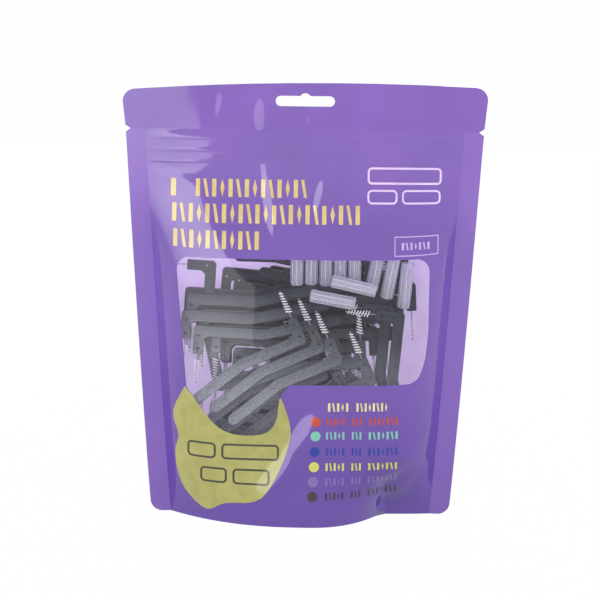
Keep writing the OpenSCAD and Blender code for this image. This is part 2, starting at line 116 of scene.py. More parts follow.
def front_rim(u):
    """The foot's front edge: deepest right of the middle, and flat before the right seal."""
    reach = 1 + RIM_MIDDLE if u < RIM_MIDDLE else RIM_RIGHT
    return RIM_DEPTH * max(RIM_LEAST * dome(u, FULLNESS), dome((u - RIM_MIDDLE) / reach, RIM_CURVE))


def back_rim(u):
    """The foot's back edge, a plain curve of the same depth."""
    return RIM_DEPTH * dome(u, RIM_CURVE)


# ---- Materials ----

def linear(code):
    """An sRGB hex colour as the linear colour that a shader takes."""
    shares = [int(code[i:i + 2], 16) / 255 for i in (1, 3, 5)]
    return (*(s / 12.92 if s <= 0.04045 else ((s + 0.055) / 1.055) ** 2.4 for s in shares), 1)


def add(tree, kind, inputs=None, **settings):
    """Adds one shader node with its settings; an input takes a value or another node's socket."""
    made = tree.nodes.new("ShaderNode" + kind)
    for name, value in settings.items():
        setattr(made, name, value)
    for key, value in (inputs or {}).items():
        if isinstance(value, bpy.types.NodeSocket):
            tree.links.new(value, made.inputs[key])
        else:
            made.inputs[key].default_value = value
    return made


def new_material(name):
    """An empty material and its node tree."""
    made = bpy.data.materials.new(name)
    made.use_nodes = True
    made.node_tree.nodes.clear()
    return made, made.node_tree


def grain(tree, size, detail=2.0):
    """A noise whose patches are about size millimetres across."""
    place = add(tree, "TexCoord").outputs["Object"]
    return add(tree, "TexNoise", {"Vector": place, "Scale": 1 / (size * MM), "Detail": detail}).outputs["Fac"]


def two_tones(tree, amount, first, second):
    """Goes from one colour to the other over the middle of a noise's range."""
    share = add(tree, "MapRange", {"Value": amount, "From Min": 0.35, "From Max": 0.65}).outputs["Result"]
    blend = add(tree, "Mix", {0: share, 6: linear(first), 7: linear(second)}, data_type="RGBA")
    return blend.outputs[2]


def let_light_in(tree, skin, tint):
    """Ends a film's material: a surface to the eye, and a tinted filter to the lamps' light."""
    passing = add(tree, "BsdfTransparent", {"Color": linear(tint)})
    rays = add(tree, "LightPath").outputs["Is Shadow Ray"]
    both = add(tree, "MixShader", {0: rays, 1: skin, 2: passing.outputs[0]})
    add(tree, "OutputMaterial", {"Surface": both.outputs[0]})


def printed_film(name, first, second, roughness=0.06, ior=1.5, painted_shade=0.34, passing="#9C8FB8"):
    """Reverse-printed PET on PE: even ink under a hard gloss, with painted shade over the dark contents.

    The two height ranges, in metres, are where the painted shade grows: down from the zip over the top of the
    contents, and down towards the foot. The light that it lets through takes the passing tint.
    """
    made, tree = new_material(name)
    tint = two_tones(tree, grain(tree, 45), first, second)
    height = add(tree, "SeparateXYZ", {0: add(tree, "TexCoord").outputs["Object"]}).outputs["Z"]
    # Painted shade: the ink is drawn darker from the zip down over the top of the contents, and darker
    # towards the foot.
    shade_under_zip = add(tree, "MapRange", {"Value": height, "From Min": 0.158, "From Max": 0.13, "To Max": painted_shade})
    shade_to_foot = add(tree, "MapRange", {"Value": height, "From Min": 0.09, "From Max": 0.02, "To Max": painted_shade})
    depth = add(tree, "Math", {0: shade_under_zip.outputs[0], 1: shade_to_foot.outputs[0]}, operation="ADD")
    shaded = add(tree, "Mix", {0: depth.outputs[0], 6: tint, 7: linear("#523795")}, data_type="RGBA")
    uneven = add(tree, "Bump", {"Height": grain(tree, 16, 1.0), "Strength": 0.3, "Distance": 0.06 * MM})
    skin = add(tree, "BsdfPrincipled", {"Base Color": shaded.outputs[2], "Roughness": roughness, "IOR": ior,
                                        "Normal": uneven.outputs[0]})
    let_light_in(tree, skin.outputs[0], passing)
    return made


def ink(name, first, second):
    """Opaque gravure ink under the film's gloss, with a faint unevenness."""
    made, tree = new_material(name)
    tint = two_tones(tree, grain(tree, 6, 3.0), first, second)
    sheen = add(tree, "MapRange", {"Value": grain(tree, 10), "To Min": 0.06, "To Max": 0.16})
    skin = add(tree, "BsdfPrincipled", {"Base Color": tint, "Roughness": sheen.outputs[0], "IOR": 1.5})
    add(tree, "OutputMaterial", {"Surface": skin.outputs[0]})
    return made


def clear_plastic(name, tint, roughness, ior, wave_size, wave_height, clearness=1.0):
    """Clear plastic, cast as film or moulded: it shows what is behind it, faintly wavy and hazy."""
    made, tree = new_material(name)
    uneven = add(tree, "Bump", {"Height": grain(tree, wave_size, 1.0), "Strength": 0.4,
                                "Distance": wave_height * MM})
    haze = add(tree, "MapRange", {"Value": grain(tree, 3), "To Min": roughness * 0.7,
                                  "To Max": roughness * 1.5})
    skin = add(tree, "BsdfPrincipled", {"Base Color": linear(tint), "Roughness": haze.outputs[0], "IOR": ior,
                                        "Transmission Weight": clearness, "Normal": uneven.outputs[0]})
    let_light_in(tree, skin.outputs[0], tint)
    return made


def lilac_lining(name):
    """The unprinted inner face of the film: pale lilac, lit from behind through the ink."""
    made, tree = new_material(name)
    tint = two_tones(tree, grain(tree, 12), "#EADCEC", "#F4ECF6")
    uneven = add(tree, "Bump", {"Height": grain(tree, 5), "Strength": 0.8, "Distance": 0.7 * MM})
    face = add(tree, "BsdfPrincipled", {"Base Color": tint, "Roughness": 0.18, "IOR": 1.5,
                                        "Normal": uneven.outputs[0]})
    glow = add(tree, "BsdfTranslucent", {"Color": tint})
    both = add(tree, "MixShader", {0: 0.66, 1: face.outputs[0], 2: glow.outputs[0]})
    let_light_in(tree, both.outputs[0], "#F4EEFA")
    return made


def moulded_grey(name):
    """Injection-moulded polypropylene: mid grey, satin and grained, with painted shade making it darker up
    the pile.

    The grain is drawn coarser than real so that it shows.
    """
    made, tree = new_material(name)
    even = two_tones(tree, grain(tree, 0.9, 4.0), "#737A7E", "#8F9598")
    slope = add(tree, "VectorMath", {0: add(tree, "TexCoord").outputs["Object"], 1: (0.35, 0, 1)},
                operation="DOT_PRODUCT")
    # Painted shade: the handles are drawn darker up the pile, where the film above shades them.
    painted_shade_up_pile = add(tree, "MapRange", {"Value": slope.outputs["Value"], "From Min": 0.052, "From Max": 0.095,
                                  "To Max": 0.9})
    tint = add(tree, "Mix", {0: painted_shade_up_pile.outputs[0], 6: even, 7: linear("#252A32")}, data_type="RGBA").outputs[2]
    uneven = add(tree, "Bump", {"Height": grain(tree, 0.9), "Strength": 0.3, "Distance": 0.04 * MM})
    sheen = add(tree, "MapRange", {"Value": grain(tree, 2.5), "To Min": 0.42, "To Max": 0.6})
    skin = add(tree, "BsdfPrincipled", {"Base Color": tint, "Roughness": sheen.outputs[0], "IOR": 1.49,
                                        "Specular IOR Level": 0.12, "Normal": uneven.outputs[0]})
    add(tree, "OutputMaterial", {"Surface": skin.outputs[0]})
    return made


def drawn_steel(name):
    """Twisted stainless steel wire: bright, with a drawn finish."""
    made, tree = new_material(name)
    sheen = add(tree, "MapRange", {"Value": grain(tree, 0.3), "To Min": 0.18, "To Max": 0.38})
    skin = add(tree, "BsdfPrincipled", {"Base Color": linear("#C9C9CC"), "Metallic": 1.0,
                                        "Roughness": sheen.outputs[0]})
    add(tree, "OutputMaterial", {"Surface": skin.outputs[0]})
    return made


def white_nylon(name):
    """Drawn white nylon filament: a soft white that isn't quite even."""
    made, tree = new_material(name)
    tint = two_tones(tree, grain(tree, 0.7), "#E2E4E6", "#FBFBFB")
    skin = add(tree, "BsdfPrincipled", {"Base Color": tint, "Roughness": 0.42, "IOR": 1.53})
    add(tree, "OutputMaterial", {"Surface": skin.outputs[0]})
    return made


# The printed films carry painted shade under the zip and towards the foot; the seals carry only a little of
# it.
PURPLE = printed_film("printed_pet_film_purple", "#8562B9", "#7C5DB0")
BACK_PURPLE = printed_film("printed_pet_film_purple_back", "#8562B9", "#7C5DB0", passing="#F6F2FA")
HEADER = printed_film("header_film_purple", "#8763BB", "#7E5FB2", ior=1.4)
SEAL = printed_film("heat_sealed_film_purple", "#8967BC", "#8261B4", roughness=0.3, painted_shade=0.05)
LINING = lilac_lining("unprinted_film_lining")
WINDOW = clear_plastic("clear_pet_window", "#FAF7FC", 0.006, 1.3, 20, 0.03)
ZIP = clear_plastic("clear_pe_zip", "#D6C8EC", 0.2, 1.5, 4, 0.02)
CAP = clear_plastic("clear_pp_cap", "#E6E7EE", 0.1, 1.49, 3, 0.02, 0.8)
CAP_RIB = clear_plastic("frosted_pp_cap_rib", "#DEDFE8", 0.3, 1.49, 3, 0.02, 0.3)
GREY = moulded_grey("moulded_pp_grey")
STEEL = drawn_steel("drawn_steel_wire")
NYLON = white_nylon("nylon_filament")


# ---- Meshes ----

def to_mesh(name, bm):
    """Turns a bmesh into a mesh and lets go of the bmesh."""
    mesh = bpy.data.meshes.new(name)
    bm.to_mesh(mesh)
    bm.free()
    return mesh


def piece(name, bm, materials, body="pouch", stands_for=(), crease=None):
    """Turns a bmesh in metres into a piece of the model that rides on a body."""
    mesh = to_mesh(name, bm)
    mesh.polygons.foreach_set("use_smooth", [True] * len(mesh.polygons))
    if crease:
        mesh.set_sharp_from_angle(angle=math.radians(crease))
    for m in materials:
        mesh.materials.append(m)
    made = bpy.data.objects.new(name, mesh)
    scene.collection.objects.link(made)
    if body:
        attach(made, body)
    if stands_for:
        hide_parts(*stands_for)
    return made


def join_flat(bm, angle=0.01):
    """Joins the triangles of each flat face into one face."""
    bmesh.ops.dissolve_limit(bm, angle_limit=angle, verts=bm.verts, edges=bm.edges)


def slice_at(bm, place, normal, reach=1e-5, keep_front=False):
    """Cuts a mesh along a plane; keep_front drops what lies behind the plane."""
    bmesh.ops.bisect_plane(bm, geom=bm.verts[:] + bm.edges[:] + bm.faces[:], dist=reach, plane_co=place,
                           plane_no=normal, clear_inner=keep_front)


def thicken(bm, thickness, centred=False, lining=False):
    """Gives a sheet its thickness inwards, or to both sides, and its inner face the second material."""
    bm.normal_update()
    if centred:
        for v in bm.verts:
            v.co += v.normal * thickness / 2 * MM
    inner = bmesh.ops.solidify(bm, geom=bm.faces[:], thickness=thickness * MM)["geom"]
    for f in inner:
        if lining and isinstance(f, bmesh.types.BMFace):
            f.material_index = 1
    return bm


def corner(x, z, r, start, steps=8):
    """A quarter circle from the start angle, in degrees."""
    return [(x + r * math.cos(math.radians(start + 90 * i / steps)),
             z + r * math.sin(math.radians(start + 90 * i / steps))) for i in range(steps + 1)]


def bar(left, right, low, high, r):
    """A rounded bar's outline."""
    r = min(r, (right - left) / 2, (high - low) / 2)
    return (corner(right - r, high - r, r, 0) + corner(left + r, high - r, r, 90)
            + corner(left + r, low + r, r, 180) + corner(right - r, low + r, r, 270))


def disc(x, z, r, steps=28):
    """A dot's outline."""
    return [(x + r * math.cos(math.tau * i / steps), z + r * math.sin(math.tau * i / steps))
            for i in range(steps)]


def through(points, steps=6):
    """A smooth open line through the points."""
    line = []
    ends = [points[0], *points, points[-1]]
    for a, b, c, d in zip(ends, ends[1:], ends[2:], ends[3:]):
        for i in range(steps):
            t = i / steps
            line.append(tuple(0.5 * (2 * b[k] + (c[k] - a[k]) * t
                                     + (2 * a[k] - 5 * b[k] + 4 * c[k] - d[k]) * t * t
                                     + (3 * b[k] - a[k] - 3 * c[k] + d[k]) * t ** 3) for k in (0, 1)))
    return line + [points[-1]]


def cut_sheet(lines, across, up):
    """A flat sheet in the XZ plane that faces -Y, cut to closed lines and sliced into small faces."""
    pattern = bpy.data.curves.new("pattern", "CURVE")
    pattern.dimensions = "2D"
    pattern.fill_mode = "BOTH"
    for line in lines:
        spline = pattern.splines.new("POLY")
        spline.points.add(len(line) - 1)
        for point, (x, z) in zip(spline.points, line):
            point.co = (x, z, 0, 1)
        spline.use_cyclic_u = True
    holder = bpy.data.objects.new("pattern", pattern)
    mesh = bpy.data.meshes.new_from_object(holder)
    bm = bmesh.new()
    bm.from_mesh(mesh)
    bpy.data.objects.remove(holder)
    bpy.data.curves.remove(pattern)
    bpy.data.meshes.remove(mesh)
    bmesh.ops.remove_doubles(bm, verts=bm.verts, dist=1e-4)
    join_flat(bm)
    for normal, cuts in ((Vector((0, 1, 0)), up), (Vector((1, 0, 0)), across)):
        places = [v.co.dot(normal) for v in bm.verts]
        low, high = min(places), max(places)
        for cut in cuts:
            if low < cut < high:
                slice_at(bm, normal * cut, normal)
    bmesh.ops.recalc_face_normals(bm, faces=bm.faces)
    if sum(f.normal.z * f.calc_area() for f in bm.faces) < 0:
        bmesh.ops.reverse_faces(bm, faces=bm.faces)
    bmesh.ops.rotate(bm, verts=bm.verts, matrix=Matrix.Rotation(math.pi / 2, 3, "X"))
    return bm


def lay(bm, place):
    """Moves each point of a flat sheet to its place on the pouch."""
    for v in bm.verts:
        v.co = Vector(place(v.co.x, v.co.z)) * MM
    return bm


def steps_between(low, high, step):
    """Even places from low to high, about one step apart."""
    count = round((high - low) / step)
    return [low + (high - low) * i / count for i in range(count + 1)]


# ---- The pouch's surface ----

# Soft dents and folds of the film: middle x and z, half width along and across, turn in degrees, and how
# far the film stands out there. Past FOLD_REACH, in squared half widths, a fold is flat.
FOLD_REACH = 12
FOLDS = [
    (-66, 162, 9, 1.6, 4, 0.5), (-64, 157, 10, 1.5, -8, -0.5), (-60, 152, 9, 2.2, -12, 0.4),
    (50, 33, 22, 2.4, 42, 0.8), (56, 26, 22, 2.2, 62, -0.8), (46, 22, 20, 2.6, 30, -0.7),
    (60, 30, 18, 1.8, 78, 0.6), (40, 12, 14, 2.4, 20, 0.6),
    (58, 66, 26, 1.8, 82, -0.5), (62, 100, 30, 1.8, 88, 0.4),
    (60, 148, 12, 2.0, 62, 0.5), (56, 138, 14, 2.4, 55, -0.5), (64, 128, 12, 1.8, 75, 0.5),
    (-60, 90, 34, 2.0, 88, -0.4), (-58, 40, 26, 2.2, 96, 0.4),
    (-13, 141, 14, 3.2, 99, 1.7), (9, 145, 10, 3.4, 76, 1.9), (-4, 27, 17, 5.5, 52, 1.5),
    (5, 43, 15, 5.5, 52, 1.5),
]
BACK_FOLDS = [
    (-52, 30, 24, 2.4, 62, 1.0), (-44, 22, 18, 2.2, 80, 0.8), (50, 34, 24, 2.4, 118, 1.0),
    (42, 22, 18, 2.0, 100, 0.8), (-58, 138, 16, 2.4, 62, 0.8), (56, 136, 16, 2.4, 118, 0.8),
    (8, 148, 22, 3.0, 8, 0.5), (-20, 118, 30, 3.4, 4, 0.5), (-8, 84, 30, 3.6, -12, 0.5),
    (49, 101, 13, 2.0, 82, 0.9), (43, 86, 10, 2.0, 58, 0.9), (50, 76, 9, 1.9, 104, 0.8),
    (45, 112, 9, 1.9, 24, 0.7),
]
HEADER_FOLDS = [
    (-17, 181, 8, 3.4, 88, 0.8), (3, 178, 5, 2.0, 76, 0.6), (-40, 184, 7, 2.0, 80, -0.25),
    (34, 180, 26, 3.0, -16, 0.25),
]


def folds(x, z, places=FOLDS):
    """How far all the folds together lift the film at a place."""
    out = 0.0
    for mid_x, mid_z, along, across, turn, height in places:
        a = math.radians(turn)
        dx, dz = x - mid_x, z - mid_z
        p = (dx * math.cos(a) + dz * math.sin(a)) / along
        q = (dz * math.cos(a) - dx * math.sin(a)) / across
        if p * p + q * q < FOLD_REACH:
            out += height * math.exp(-p * p - q * q)
    return out


def waves(x, z, seed, size, height):
    """A soft unevenness whose hills are about size across."""
    return height * noise.noise(Vector((x / size, z / size, seed)))


def sway(x, z):
    """How far the whole film waves to and fro, the same for the front, the back and the seals."""
    broad = waves(x, z, seed=3, size=46, height=0.5)
    small = waves(x, z, seed=9, size=17, height=0.12)
    return smooth(z / 25) * (broad + small)


def lip_depth(u, z, ridge=0.0):
    """How far a lip stands from the middle plane: over the zip, then down to nothing at the tear line."""
    closing = 1 - smooth((z - ZIP_TOP) / (TEAR_Z - ZIP_TOP))
    return (LIP_Y + ridge) * closing * dome(u, FULLNESS) + FILM_T


def freedom(z):
    """How free the film is to swell and dent: not at all at the foot and at the zip."""
    return smooth(z / CALM_FOOT) * smooth((HINGE_Z - z) / CALM_ZIP)


def front_depth(x, z):
    """How far the front film's outer face stands in front of the middle plane."""
    u = x / inner_width(z)
    if z > HINGE_Z:
        return lip_depth(u, z, sum(RIDGE_H * math.exp(-((z - place) / RIDGE_W) ** 2) for place in RIDGES))
    depth = mix(front_rim(u), belly_depth(z) * dome(u, FULLNESS), smooth(z / FOOT_BLEND_H))
    swell = SWELL * freedom(z) * dome(u, 2) ** 1.5
    dents = freedom(z) * dome(u, DENT_CURVE) * waves(x, z, seed=21, size=34, height=0.45)
    dents += dome(u, DENT_CURVE) * smooth(z / DENTS_FROM) * folds(x, z)
    return max(0.0, depth + swell + dents) + FILM_T


def back_depth(x, z):
    """How far the back film's outer face stands behind the middle plane."""
    u = x / inner_width(z)
    if z > HINGE_Z:
        return lip_depth(u, z)
    depth = mix(back_rim(u), belly_depth(z) * dome(u, FULLNESS), smooth(z / FOOT_BLEND_H))
    dents = freedom(z) * dome(u, DENT_CURVE) * waves(x, z, seed=33, size=26, height=1.0)
    dents += dome(u, DENT_CURVE) * smooth(z / DENTS_FROM) * folds(x, z, BACK_FOLDS)
    return max(0.0, depth + dents) + FILM_T


# Sheets are cut from a flat pattern whose sides are straight, this far from its middle.
FLAT_HALF = 66.0


def to_flat(x, z):
    """A place on the front, as a place on the flat pattern whose side edges are straight."""
    return (x / inner_width(z) * FLAT_HALF, z)


def on_front(proud):
    """Where a place of the flat pattern lies on the front film, or standing out from it."""
    def place(s, z):
        x = s / FLAT_HALF * inner_width(z)
        return (x, sway(x, z) - front_depth(x, z) - proud, z)
    return place


def on_back(s, z):
    """Where a place of the flat pattern lies on the back film."""
    x = s / FLAT_HALF * inner_width(z)
    return (x, sway(x, z) + back_depth(x, z), z)


# Where the sheets and the print on them are sliced, so that they can follow the pouch's curves.
ACROSS = steps_between(-FLAT_HALF, FLAT_HALF, 1.5)
UP = steps_between(0, HINGE_Z, 1.6)

# The window's outline: round upper corners, a slanted right end and a lobe under its left half.
lobe_shares = [(-0.046, 0), (-0.085, 0.25), (-0.095, 0.62), (-0.117, 0.85), (-0.150, 0.96), (-0.215, 1),
               (-0.275, 0.97), (-0.318, 0.89), (-0.357, 0.74), (-0.405, 0.46), (-0.458, 0.13)]
lobe = through([(WINDOW_W * x, WINDOW_BOTTOM - LOBE_DROP * down) for x, down in lobe_shares])
right_shares = [(0.5, 0.40), (0.490, 0.20), (0.475, 0.09), (0.458, 0.03), (0.430, 0)]
right_end = through([(WINDOW_W * x, mix(WINDOW_BOTTOM, WINDOW_TOP, up)) for x, up in right_shares])
window_line = (corner(WINDOW_W / 2 - WINDOW_R, WINDOW_TOP - WINDOW_R, WINDOW_R, 0)
               + corner(WINDOW_R - WINDOW_W / 2, WINDOW_TOP - WINDOW_R, WINDOW_R, 90)
               + lobe[::-1] + right_end[::-1])
flat_window = [to_flat(x, z) for x, z in window_line]

# Front film and its window.
edge = [(-FLAT_HALF, 0), (FLAT_HALF, 0), (FLAT_HALF, HINGE_Z), (-FLAT_HALF, HINGE_Z)]
bm = lay(cut_sheet([edge, flat_window], ACROSS, UP), on_front(0))
piece("front_film_sheet", thicken(bm, FILM_T, lining=True), [PURPLE, LINING],
      stands_for=["front_film"], crease=50)
bm = lay(cut_sheet([flat_window], ACROSS, UP), on_front(0))
piece("window_sheet", thicken(bm, FILM_T), [WINDOW], stands_for=["front_window"], crease=50)


def plain_grid(columns, rows, low, high):
    """A flat grid over the whole width between two heights, facing -Y."""
    bm = bmesh.new()
    bmesh.ops.create_grid(bm, x_segments=columns, y_segments=rows, size=1)
    bmesh.ops.scale(bm, verts=bm.verts, vec=(FLAT_HALF, (high - low) / 2, 1))
    bmesh.ops.translate(bm, verts=bm.verts, vec=(0, (high + low) / 2, 0))
    bmesh.ops.rotate(bm, verts=bm.verts, matrix=Matrix.Rotation(math.pi / 2, 3, "X"))
    return bm


# Back film and back lip: their grids face the other way.
for name, low, high, rows, node in (("back_film_sheet", 0, HINGE_Z, 99, "back_film"),
                                    ("back_lip_sheet", HINGE_Z, TEAR_Z, 30, "back_lip")):
    bm = lay(plain_grid(88, rows, low, high), on_back)
    bmesh.ops.reverse_faces(bm, faces=bm.faces)
    piece(name, thicken(bm, FILM_T, lining=True), [BACK_PURPLE, LINING], stands_for=[node],
          crease=50)

# Front lip, in two halves split at the middle, each running out to its side seal.
for side, name in ((-1, "front_lip_left"), (1, "front_lip_right")):
    bm = plain_grid(88, 30, HINGE_Z, TEAR_Z)
    slice_at(bm, (0, 0, 0), (side, 0, 0), keep_front=True)
    made = piece(name, thicken(lay(bm, on_front(0)), FILM_T, lining=True), [PURPLE, LINING],
                 body=None, stands_for=["front_lip"] if side < 0 else [], crease=50)
    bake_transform(made)


def seal_line():
    """One side seal's outline on its flat pattern: distance from the inner edge, and height."""
    def out(x, z):
        return (x - inner_width(z), z)
    foot = corner(half_width(FOOT_CORNER_R) - FOOT_CORNER_R, FOOT_CORNER_R, FOOT_CORNER_R, -90)
    inner_foot = [(0, z) for z in (TEAR_Z, 0)]
    return (inner_foot + [out(x, z) for x, z in foot]
            + [(SEAL_W, TEAR_Z - NOTCH_H / 2), out(half_width(TEAR_Z) - NOTCH_W, TEAR_Z)])


for side, name, node in ((-1, "left_seal_band", "left_side_seal"), (1, "right_seal_band", "right_side_seal")):
    def on_seal(s, z, side=side):
        x = side * (inner_width(z) + s)
        return (x, sway(x, z) - SEAL_LEAN * s * smooth((TEAR_Z - z) / SEAL_LEAN_H), z)
    bm = cut_sheet([seal_line()], steps_between(0, SEAL_W, 1.0), steps_between(0, TEAR_Z, 2.0))
    lay(bm, on_seal)
    if side < 0:
        bmesh.ops.reverse_faces(bm, faces=bm.faces)
    piece(name, thicken(bm, 2 * FILM_T, centred=True), [SEAL], stands_for=[node], crease=50)

# Header with its hang slot, a hair over the tear line.
corner_top = POUCH_H - TOP_CROWN
header_low = TEAR_Z + 0.01


def top_edge(x):
    """The cut at the top: crowned, and sloping down towards the left."""
    u = x / (POUCH_W / 2)
    return corner_top + TOP_CROWN * (1 - u * u) - TOP_SLOPE * (1 - u) ** 2


corner_x = POUCH_W / 2 - TOP_CORNER_R
notch_top = header_low + NOTCH_H / 2
right_side = ([(half_width(TEAR_Z) - NOTCH_W, header_low), (half_width(notch_top), notch_top)]
              + corner(corner_x, top_edge(corner_x) - TOP_CORNER_R, TOP_CORNER_R, 0))
top = [(corner_x * (1 - i / 10), top_edge(corner_x * (1 - i / 10))) for i in range(1, 20)]
left_drop = top_edge(corner_x) - top_edge(-corner_x)
left_side = [(-x, z - left_drop * smooth((z - TEAR_Z) / TOP_SLOPE_H)) for x, z in right_side[::-1]]
header_line = right_side + top + left_side
slot_z = corner_top - SLOT_DROP
slot_half = SLOT_W / 2 - SLOT_H / 2
bump_r = SLOT_BUMP_D / 2
bump_z = slot_z + SLOT_H / 2 - SLOT_BUMP_D / 4
bump_reach = math.degrees(math.asin((slot_z + SLOT_H / 2 - bump_z) / bump_r))
bump = [(bump_r * math.cos(math.radians(a)), bump_z + bump_r * math.sin(math.radians(a)))
        for a in steps_between(bump_reach, 180 - bump_reach, 12)]
slot_line = (bump
             + corner(-slot_half, slot_z, SLOT_H / 2, 90) + corner(-slot_half, slot_z, SLOT_H / 2, 180)[1:]
             + corner(slot_half, slot_z, SLOT_H / 2, 270) + corner(slot_half, slot_z, SLOT_H / 2, 0)[1:])
bm = cut_sheet([header_line, slot_line], steps_between(-POUCH_W / 2, POUCH_W / 2, 1.6),
               steps_between(TEAR_Z, POUCH_H, 1.2))
lay(bm, lambda x, z: (x, sway(x, z) - folds(x, z, HEADER_FOLDS), z))
piece("header_sheet", thicken(bm, 2 * FILM_T, centred=True), [HEADER], "header",
      ["header_strip"], crease=50)


# ---- Print on the front ----

def frieze(left, right, low, high, pitch):
    """A row of stems, slanted bars and lozenges."""
    count = max(1, round((right - left) / pitch))
    step = (right - left) / count
    wide, middle = step * 0.52, (low + high) / 2
    lines = []
    for i in range(count):
        x = left + step * i
        if i % 4 in (0, 2):
            lines.append(bar(x, x + wide, low, high, step * 0.08))
        elif i % 4 == 1:
            lines.append([(x + wide * 0.5, high), (x - wide * 0.2, high), (x + wide * 0.5, low),
                          (x + wide * 1.2, low)])
        else:
            lines.append([(x, middle), (x + wide / 2, low), (x + wide, middle), (x + wide / 2, high)])
    return lines


def frames_in_line(low, high, ends, wall):
    """Rounded frames in a line, each as its outer and its inner outline."""
    lines = []
    for a, b in ends:
        lines += [bar(a, b, low, high, FRAME_R),
                  bar(a + wall, b - wall, low + wall, high - wall, FRAME_R - wall)]
    return lines


def ticks(z, ends, height):
    """Short fine bars on one line."""
    low, high = z - height / 2, z + height / 2
    return [line for a, b in ends for line in frieze(a, b, low, high, SMALL_PITCH)]


# The flash has an outer edge of its own, and its inner edge follows the window's lobe.
flash_outer = through([(-9.2, 57.8), (-7.2, 53.3), (-5, 45.8), (-4.9, 38.8), (-8.6, 27), (-15, 14.9),
                       (-21.5, 10.5), (-33, 9), (-39.7, 5.3), (-44.2, 6), (-51, 12.2), (-54.5, 19.7),
                       (-55.8, 29.7), (-54.3, 37.8), (-56.5, 44.2), (-56.2, 50.5), (-51.6, 60.6)], 4)
flash_line = flash_outer + [p for p in lobe[::-1] if p[1] < 58]

# The guide's rows: colour, the dot's middle x and z, and the ink. The title's bars: left, right, low, high.
guide_rows = [("red", 6.5, 47.3, "#C0453A"), ("mint", 6.4, 40.9, "#7FC0B0"), ("blue", 6.1, 33.6, "#1D3A9E"),
              ("yellow", 5.9, 26.7, "#CFCF62"), ("violet", 5.6, 20.1, "#7C66A8"),
              ("charcoal", 5.3, 13.7, "#3A3238")]
title = [(-58.6, -54.2, 143.9, 151.4), (-47.6, 2.6, 143.9, 151.4), (-57.9, 26.3, 133.3, 141),
         (-57.2, -17.8, 122.8, 130.2)]
prints = [
    ("title_bars", "#E2C987", "#D6BA78", [line for place in title for line in frieze(*place, TITLE_PITCH)]),
    ("badge_rings", "#E9D3F5", "#DCC0EE", frames_in_line(149.8, 157.2, [(27.8, 60.4)], 0.9)
     + frames_in_line(141.6, 147.6, [(27.8, 41), (43, 60)], 0.8)),
    ("label_frame", "#CDB4E4", "#BFA2DC", [bar(39.8, 59.3, 120.4, 128.6, 0.3),
                                           bar(40.2, 58.9, 120.8, 128.2, 0.2)]
     + ticks(124.5, [(43, 56.2)], 3.0)),
    ("flash_patch", "#B2AE67", "#A6A25D", [flash_line]),
    ("flash_rings", "#3A3A2C", "#4A4A38", frames_in_line(29.4, 36.6, [(-50.2, -37.5), (-35, -9.6)], 0.9)
     + frames_in_line(18.2, 25.4, [(-44.4, -32.5), (-30, -13.6)], 0.9)),
    ("guide_heading", "#EBDDA4", "#DCCB92", ticks(53.8, [(11.7, 21.6), (24.2, 38.6)], 3.8)),
]
for colour, x, z, code in guide_rows:
    bars = ticks(z, [(11, 20), (22.4, 27.4), (29.8, 43.6)], 3.4)
    prints.append((colour + "_mark", code, code, [disc(x, z, DOT_R)] + bars))

for name, first, second, lines in prints:
    layer = PRINT_OVER_PRINT if name == "flash_rings" else PRINT_PROUD
    bm = cut_sheet([[to_flat(x, z) for x, z in line] for line in lines], ACROSS, UP)
    piece(name, thicken(lay(bm, on_front(layer)), PRINT_T), [ink(name + "_ink", first, second)],
          crease=50)


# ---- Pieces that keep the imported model's own shape ----

def merged(node):
    """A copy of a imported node's mesh with its loose triangles joined."""
    bm = bmesh.new()
    bm.from_mesh(nodes[node].data)
    bmesh.ops.remove_doubles(bm, verts=bm.verts, dist=0.001 * MM)
    return bm


piece("gusset_sheet", merged("bottom_gusset"), [PURPLE], stands_for=["bottom_gusset"],
      crease=50)


def ribbed(bm):
    """A cap's tube with fine ribs along it, raised from its long, narrow outer faces."""
    join_flat(bm)
    middle = sum((v.co for v in bm.verts), Vector()) / len(bm.verts)
    longest = max(bm.edges, key=lambda e: e.calc_length())
    along = (longest.verts[1].co - longest.verts[0].co).normalized()
    side = along.orthogonal().normalized()
    walls = []
    for f in bm.faces:
        out = f.calc_center_median() - middle
        out -= along * out.dot(along)
        level = abs(f.normal.dot(along)) < 0.01
        if level and f.normal.dot(out) > 0 and f.calc_area() > 4 * MM * MM:
            walls.append((math.atan2(out.dot(side), out.dot(along.cross(side))), f))
    walls.sort(key=lambda wall: wall[0])
    ribs = bmesh.ops.extrude_discrete_faces(bm, faces=[f for _, f in walls[::SIDES_PER_RIB]])["faces"]
    for f in ribs:
        bmesh.ops.translate(bm, verts=f.verts, vec=f.normal * CAP_RIB_H * MM)
        f.material_index = 1
    return bm


cap_nodes = sorted(n for n in nodes if n.startswith("cap_"))
for node in cap_nodes:
    piece("clear_" + node, ribbed(merged(node)), [CAP, CAP_RIB], stands_for=[node], crease=40)

# Zip halves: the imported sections, pressed flat towards the side seals as the film is.
for node in ("zip_groove", "zip_rib"):
    bm = merged(node)
    join_flat(bm)
    for cut in steps_between(-70, 70, 2.0):
        slice_at(bm, (cut * MM, 0, 0), (1, 0, 0), 1e-7)
    for v in bm.verts:
        x, z = v.co.x / MM, v.co.z / MM
        v.co.y = v.co.y * dome(x / inner_width(HINGE_Z), FULLNESS) + sway(x, z) * MM
    if node == "zip_rib":
        piece("zip_rib_strip", bm, [ZIP], stands_for=[node], crease=30)
        continue
    for side, half in ((-1, "left"), (1, "right")):
        part = bm.copy()
        slice_at(part, (0, 0, 0), (side, 0, 0), 1e-7, keep_front=True)
        made = piece("zip_groove_" + half, part, [ZIP], body=None,
                     stands_for=[node] if side < 0 else [], crease=30)
        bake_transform(made)
    bm.free()


# ---- Brushes ----

